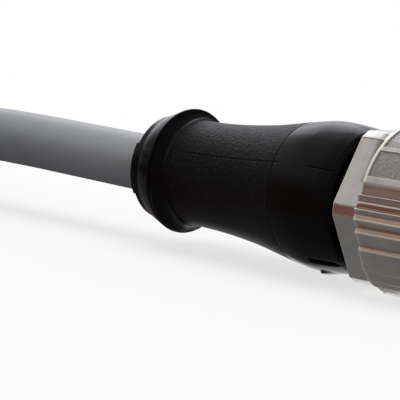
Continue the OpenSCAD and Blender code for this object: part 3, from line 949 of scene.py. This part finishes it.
def skin_ring(station):
    """Ring of the neck or shoulder, with every mark that it crosses."""
    r = np.interp(GRIP_FRONT - station, neck[:, 0], neck[:, 1])
    pull = np.clip(1 - abs(station - SEAM_X) / SEAM_REACH, 0, 1)
    x = station + r * pull * (np.sin(grip_turn) * SEAM_LEAN + np.cos(grip_turn) * SEAM_SWING)
    r = np.interp(GRIP_FRONT - x, neck[:, 0], neck[:, 1])
    from_seam = abs(station - SEAM_X)
    r = r - SEAM_DEPTH * (1 - smooth_step(from_seam, 0.02, 0.16))
    for line in (PARTING, PARTING + 180):
        near = 1 - smooth_step(np.abs(angle_off(line)), 0.1, 0.6)
        shown = smooth_step(x, -31.6, -30.6) * smooth_step(np.abs(x - SEAM_X - 2), 1.4, 1.9)
        r = r - np.where(x > SEAM_X, PARTING_DEPTH, PARTING_DEPTH_REAR) * near * shown
    off = angle_off(SLOT_ANGLE) * math.pi / 180 * 7.0 + (x - SLOT_X) * SLOT_LEAN
    reach = np.hypot(np.maximum(np.abs(x - SLOT_X) - SLOT_HALF, 0), off) - SLOT_R
    r = r - SLOT_DEPTH * (1 - smooth_step(reach, -0.09, 0.03))
    ahead = (x - WEDGE_X) / WEDGE_LEN
    side = np.abs(angle_off(WEDGE_ANGLE)) * math.pi / 180 * 7.1 - WEDGE_W / 2
    wedge = smooth_step(ahead, -0.05, 0.02) * np.clip(1 - ahead, 0, 1)
    r = r + WEDGE_H * wedge * (1 - smooth_step(side, -0.1, 0.02))
    return grip_ring(x, r)


print("radius at the parting ring", round(float(np.interp(GRIP_FRONT - SEAM_X, *neck.T)), 2), "mm")

# %% Rows of the grip, from the spigot to the collar
LIP_X, LIP_R, SCOOP_X, SCOOP_R = -34.6, 6.35, -33.2, 5.32
TAB_H, CABLE_BORE_R, SPIGOT_BORE_R = 0.35, 2.97, 4.52
POCKET_END, POCKET_FRONT, MOULD_R = -22.6, -12.6, 4.32
front_rows = [
    (-7.5, SPIGOT_BORE_R), (-7.5, 5.65), (-7.55, 5.75), (-7.7, 5.8), (-8.1, 5.8), (-8.1, 5.02),
    (-9.5, 5.02), (-9.5, 5.8), (-11.4, 5.8), (-11.58, 5.9), (-11.6, 6.1), (-11.6, 6.45),
    (-11.62, 6.58), (-11.7, 6.69), (-11.85, 6.76),
]
near_seam = np.array([0.03, 0.09, 0.16, 0.5, 1.1])
stations = np.unique(np.round(np.concatenate([
    np.arange(-33.0, -12.1, 0.6), SEAM_X - near_seam, SEAM_X + near_seam,
    np.arange(-15.4, -12.05, 0.1), np.arange(-15.8, -14.9, 0.1),
]), 3))[::-1]
scoop_rows = [
    (SCOOP_X - (SCOOP_X - LIP_X) * math.sin(t), LIP_R - (LIP_R - SCOOP_R) * math.cos(t))
    for t in np.radians(np.arange(0, 86, 8.5))
]
lip_rows = [(-34.58, 6.27), (-34.61, 6.32), (-34.68, 6.35), (-34.78, 6.35), (-34.88, 6.32)]
collar_rows = [
    (-35.6, 6.03), (-36.7, 5.6), (-36.78, 5.54), (-36.8, 5.46), (-36.8, 5.32), (-36.85, 5.3),
    (-37.6, 5.3), (-37.74, 5.27), (-37.8, 5.18),
]
print("stations along the skin", len(stations))

# %% Make the grip
tab = TAB_H * (np.minimum(np.abs(angle_off(0)), np.abs(angle_off(180))) < TAB_ANGLE)
grip_rows = [grip_ring(*row) for row in front_rows]
grip_rows += [skin_ring(float(x)) for x in stations]
grip_rows += [grip_ring(*row) for row in scoop_rows + lip_rows + collar_rows]
grip_rows += [
    grip_ring(COLLAR_REAR - tab * 0.85, 5.18), grip_ring(COLLAR_REAR - tab, 5.1),
    grip_ring(COLLAR_REAR - tab, 3.36), grip_ring(-37.5, CABLE_BORE_R),
    grip_ring(POCKET_END, CABLE_BORE_R), grip_ring(POCKET_END, MOULD_R),
    grip_ring(POCKET_FRONT, MOULD_R), grip_ring(POCKET_FRONT, SPIGOT_BORE_R),
]
faces = grid_faces(len(grip_rows), len(grip_turn), closed=True)
grip = new_piece("grip", np.vstack(grip_rows) * MM, faces, sharp=50)
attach(grip, "plug")
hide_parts("grip_body")
print("grip rings", len(grip_rows), "faces", len(grip.data.polygons))

# %% [markdown]
# ## Finish of the metal
#
# The screw is die-cast and nickel plated. A plain metallic shader with one roughness looks like
# chrome paint. The cast faces here have a fine grain that spreads the light. The walls between
# the ribs get a painted warm, dark reflection, the edges a painted highlight, the corner where
# a panel rises a narrow strip of painted shade, and one hexagon edge a painted dark reflection.

# %% Nickel
# The warm colour is a painted reflection, for the walls between the ribs.
NICKEL_DARK, NICKEL, PAINTED_REFLECTION_WARM = (0.62, 0.605, 0.585), (0.69, 0.675, 0.655), (0.58, 0.43, 0.345)
# The bright edge colour is a painted highlight.
# The dark corner colour is painted shade behind each panel and a painted dark reflection on one hexagon
# edge.
FIELD_DULL, PAINTED_SHADE_AND_REFLECTION, PAINTED_HIGHLIGHT = (0.34, 0.31, 0.28), (0.06, 0.055, 0.05), (0.9, 0.85, 0.74)


def nickel_finish():
    material, w = new_finish("nickel")
    wall_reflection = w.marked("wall_reflection")
    rim = w.marked("rim").step(0, 0.55)
    field = w.marked("field")
    foot_shade = w.marked("panel_foot_shade")
    line = w.marked("corner_dark_reflection")
    cloud = w.noise(1.4, detail=3)
    grain = w.noise(0.09, detail=3)
    pores = w.noise(0.35, detail=2).step(0.6, 0.75)
    plain = cloud.step(0.3, 0.7).mix(NICKEL_DARK, NICKEL)
    # painted reflection: the walls between the ribs get a warm, dark colour
    toned = wall_reflection.mix(plain, PAINTED_REFLECTION_WARM)
    pitted = w.noise(0.22, detail=3).step(0.4, 0.65)
    toned = (field * (0.45 + pitted * 0.3)).mix(toned, FIELD_DULL)
    # painted shade on the hexagon behind each panel, and a painted dark reflection on one corner edge
    shade_band = w.axis("X").step((RIB_REAR - 0.9) * MM, (RIB_REAR - 0.3) * MM) * foot_shade * 0.65
    toned = shade_band.largest(line * 0.75).mix(toned, PAINTED_SHADE_AND_REFLECTION)
    # painted highlight: bright, less metallic edges
    colour = rim.mix(toned, PAINTED_HIGHLIGHT)
    rough = 0.26 + cloud * 0.1 + pores * 0.08 + wall_reflection * 0.06 + field * 0.1 - rim * 0.08
    relief = w.bump(grain, 0.006, 0.5, under=w.bump(pores, 0.012, 0.5))
    relief = w.bump(pitted * field, 0.02, 0.6, under=relief)
    return close_finish(
        material, w, Base_Color=colour, Roughness=rough, Metallic=1 - rim * 0.75, Normal=relief)


dress(screw, nickel_finish())

# %% [markdown]
# ## Finish of the grip
#
# The black moulding is a soft polyurethane. Its shoulder came off polished steel and has a low
# even sheen, while the neck was spark eroded, which leaves a random pebbled skin. Both are one
# shader here: a mask along the axis, leaning with the ring, chooses roughness and relief.

# %% Black moulding
BLACK_DARK, BLACK, SPECK = (0.003, 0.003, 0.0035), (0.005, 0.0048, 0.0052), (0.034, 0.033, 0.036)


def grip_finish():
    material, w = new_finish("black_moulding")
    along = w.axis("X") - w.axis("Z") * SEAM_LEAN + w.axis("Y") * SEAM_SWING
    behind_seam = 1 - along.step((SEAM_X - 0.12) * MM, (SEAM_X + 0.02) * MM)
    eroded = behind_seam * along.step((SCOOP_X - 0.2) * MM, (SCOOP_X + 0.8) * MM)
    pebbles = w.noise(0.36, detail=3)
    speck = w.noise(0.12, detail=2)
    haze = w.noise(3.0, detail=2)
    fine = w.noise(0.07, detail=2)
    colour = haze.mix(BLACK_DARK, BLACK)
    colour = (eroded * speck.step(0.5, 0.72) * 0.6).mix(colour, SPECK)
    rough = 0.12 + haze * 0.05 + eroded * (0.16 + speck * 0.16)
    relief = w.bump(pebbles * eroded, 0.09, 1.0, under=w.bump(speck * eroded, 0.09, 1.0))
    relief = w.bump(fine, 0.002, 0.4, under=relief)
    return close_finish(
        material, w, Base_Color=colour, Roughness=rough, Normal=relief, Specular_IOR_Level=0.13)


dress(grip, grip_finish())

# %% [markdown]
# ## Finish of cable, cores and ties
#
# An extruded sheath is smooth to the finger but not glossy: it carries faint lengthwise draw
# marks and scuffs. A core's skin is glossier and plain. Both come from one function with a
# colour and a few numbers, because they differ in nothing else.

# %% Plastics
SCUFF = 0.06


def plastic_finish(name, colour, rough, size=0.5, depth=0.004):
    """A plain plastic whose marks are about size millimetres across and depth deep."""
    material, w = new_finish(name)
    cloud = w.noise(size * 8, detail=3)
    marks = w.noise(size, detail=4)
    light = tuple(min(1.0, c * 1.1 + 0.004) for c in colour)
    dark = tuple(c * 0.9 for c in colour)
    return close_finish(
        material, w, Base_Color=cloud.mix(dark, light), Roughness=rough + (marks - 0.5) * SCUFF,
        Normal=w.bump(marks, depth, 0.6))


sheath = plastic_finish("cable_sheath", (0.31, 0.316, 0.328), 0.42)
dress(cable, sheath)
dress(nodes["cable_in_grip"], sheath)

# %% Cores, ties and the parts inside
CORE_COLOURS = {
    "brown": (0.12, 0.045, 0.02), "white": (0.78, 0.77, 0.74), "blue": (0.03, 0.1, 0.42),
    "black": (0.012, 0.012, 0.012), "grey": (0.3, 0.3, 0.3),
}
for colour, rgb in CORE_COLOURS.items():
    skin = plastic_finish("core_skin_" + colour, rgb, 0.3, size=0.3)
    dress(leads[colour], skin)
    dress(nodes["core_" + colour], skin)
tie_finish = plastic_finish("tie_nylon", (0.016, 0.016, 0.017), 0.34, size=0.25)
for tie in ties:
    dress(tie, tie_finish)
filled = plastic_finish("carrier_glass_filled", (0.014, 0.014, 0.015), 0.46, size=0.2, depth=0.006)
dress(nodes["contact_carrier"], filled)
dress(nodes["inner_mould"], plastic_finish("inner_mould_plastic", (0.05, 0.05, 0.055), 0.5))
rubber = plastic_finish("friction_ring_rubber", (0.02, 0.02, 0.022), 0.5, size=0.3)
dress(nodes["friction_ring"], rubber)

# %% [markdown]
# The pins are gold plated and the strands are tinned. Both are plain metals whose tone clouds a
# little, as plating does, so one function makes them from two colours and a roughness.

# %% Gold and tin


def metal_finish(name, colour, dark, rough):
    material, w = new_finish(name)
    cloud = w.noise(0.4, detail=3)
    return close_finish(
        material, w, Base_Color=cloud.step(0.3, 0.7).mix(dark, colour), Metallic=1.0,
        Roughness=rough + cloud * 0.12, Normal=w.bump(w.noise(0.05), 0.002, 0.4))


gold = metal_finish("contact_gold", (0.95, 0.68, 0.28), (0.85, 0.56, 0.2), 0.14)
tinned = metal_finish("tinned_strands", (0.74, 0.73, 0.7), (0.56, 0.55, 0.52), 0.24)
for number in range(1, 6):
    dress(nodes[f"contact_pin_{number}"], gold)
for piece in conductors.values():
    dress(piece, tinned)

# %% [markdown]
# ## Table and light
#
# The plug lies on a pale table in a bright room, under a broad soft lamp and with a second one
# behind it. A white backdrop could be lit until it is white, but that light would fall on the
# plug too. Light Path's camera and mirror rays see white instead, and the table keeps its real
# shading near the plug, where its shadow falls. Polished metal needs something dark to mirror as
# well, or its edges vanish. As in a studio, the near side of the room is darker in mirrors, a
# warm brown that greys with height. So is the table on that side of the plug, and the far ends
# of the room, past the plug's front and behind its collar, are almost black. Only the rear lamp
# is seen in mirrors, because the one above would turn every upper edge white.

# %% Which ray is looking
WHITE, COOL, GREY = (1, 1, 1), (1.0, 1.01, 1.08), (0.63, 0.62, 0.61)
BROWN, DIM, DARK = (0.19, 0.085, 0.062), (0.185, 0.185, 0.185), (0.14, 0.14, 0.15)


def ray_is(w, kind):
    return w.node("LightPath", out=f"Is {kind} Ray")


def seen_directly(w):
    """1 for rays from the camera, from mirrors and through glass, else 0."""
    both = w.sum("ADD", ray_is(w, "Camera"), ray_is(w, "Glossy"), clamp=True)
    return w.sum("ADD", both, ray_is(w, "Transmission"), clamp=True)


print("tones for mirrors", BROWN, DIM, DARK, GREY)

# %% Table
TABLE_R = 3
bpy.ops.mesh.primitive_circle_add(
    vertices=96, radius=TABLE_R, fill_type="NGON", location=(0, 0, FLOOR_Z * MM))
table = bpy.context.object
table.name = "table_top"
print("table at", FLOOR_Z, "mm, radius", TABLE_R, "m")

# %% [markdown]
# In a mirror the table is dark only where the metal would see its near side: in front of a line
# beside the plug, and under the collar. For the camera it fades to white away from the object,
# whose footprint is a box, the distance from which is the larger of two sums.

# %% Paint of the table
PLUG_MIDDLE = (-0.02, 0, 0)
LINE_AT, LINE_LEAN = -0.009, 0.2
FOOT_MIDDLE, FOOT_HALF_SIZE = (-0.087, -0.019), (0.093, 0.027)
WHITE_NEAR, WHITE_REACH = 0.7, 0.06
BOUNCE, PALE, PALER = (0.22, 0.22, 0.22), (0.88, 0.88, 0.88), (0.9, 0.9, 0.9)

material, w = new_finish("table_paint")
mirrored = ray_is(w, "Glossy")
away = w.node("VectorMath", {"operation": "DISTANCE"}, {0: w.place(), 1: PLUG_MIDDLE}, out="Value")
lateral = w.axis("Y") + (w.axis("X") - LINE_AT) * LINE_LEAN
under_collar = (1 - w.axis("X").step(-0.046, -0.04)) * w.axis("Y").step(-0.03, -0.02)
in_front = (1 - lateral.step(-0.0044, -0.003)).largest(under_collar)
mirror_tone = under_collar.mix(away.step(0.013, 0.024).mix(DIM, BROWN), DARK)
glow = (in_front * mirrored).mix(WHITE, mirror_tone)

beside = w.sum("ABSOLUTE", w.axis("Y") - FOOT_MIDDLE[1]) - FOOT_HALF_SIZE[1]
beyond = w.sum("ABSOLUTE", w.axis("X") - FOOT_MIDDLE[0]) - FOOT_HALF_SIZE[0]
distance = beside.largest(beyond).step(0, WHITE_REACH)
fade = (WHITE_NEAR + distance * (1 - WHITE_NEAR)) * seen_directly(w)
paint = ray_is(w, "Camera").mix(BOUNCE, w.noise(20).mix(PALE, PALER))
diffuse = w.node("BsdfDiffuse", (), {"Color": paint})
white = w.node("Emission", (), {"Color": glow, "Strength": 1.0})
into_surface(w.node("MixShader", (), {0: fade.largest(mirrored), 1: diffuse, 2: white}))
dress(table, material)

# %% Room
ROOM_LEVEL = 0.45
world = bpy.data.worlds.new("room")
bpy.context.scene.world = world
world.use_nodes = True
world.node_tree.nodes.clear()
w = Wire(world.node_tree)
towards = w.node("TexCoord", out="Generated")
ahead, sideways, height = (w.node("SeparateXYZ", (), {0: towards}, out=axis) for axis in "XYZ")
mirrored = ray_is(w, "Glossy")
camera_side = (0 - sideways).step(-0.3, 0.0)
mirror_tone = (1 - height.step(0.1, 0.45)).mix(GREY, BROWN)
tone = camera_side.mix(COOL, mirrored.mix(WHITE, mirror_tone))
past_front = ahead.step(-0.55, -0.25)
behind_collar = 1 - ahead.step(-0.99, -0.86)
dark_ends = w.sum("ADD", past_front, behind_collar, clamp=True) * mirrored
tone = ray_is(w, "Camera").mix(dark_ends.mix(tone, DARK), WHITE)
level = ROOM_LEVEL + seen_directly(w) * (1 - ROOM_LEVEL)
room = w.node("Background", (), {"Color": tone, "Strength": level})
into_surface(room, "OutputWorld")
print("room of", len(world.node_tree.nodes), "nodes, level", ROOM_LEVEL)

# %% Lamps
LAMP_AIM = Vector((-0.01, 0, 0))
DAYLIGHT = (0.97, 0.98, 1)


def soft_lamp(name, place, size, power, tint, in_mirrors):
    """A square lamp that faces the plug."""
    data = bpy.data.lights.new(name, "AREA")
    data.shape, data.size, data.energy, data.color = "SQUARE", size, power, tint
    lamp = bpy.data.objects.new(name, data)
    lamp.location = place
    lamp.visible_glossy = in_mirrors
    lamp.rotation_euler = (LAMP_AIM - Vector(place)).to_track_quat("-Z", "Y").to_euler()
    bpy.context.collection.objects.link(lamp)


soft_lamp("overhead", (-0.1, -0.04, 0.6), 0.5, 2.35, WHITE, in_mirrors=False)
soft_lamp("behind", (-0.455, 0.36, 0.4), 0.34, 0.385, DAYLIGHT, in_mirrors=True)
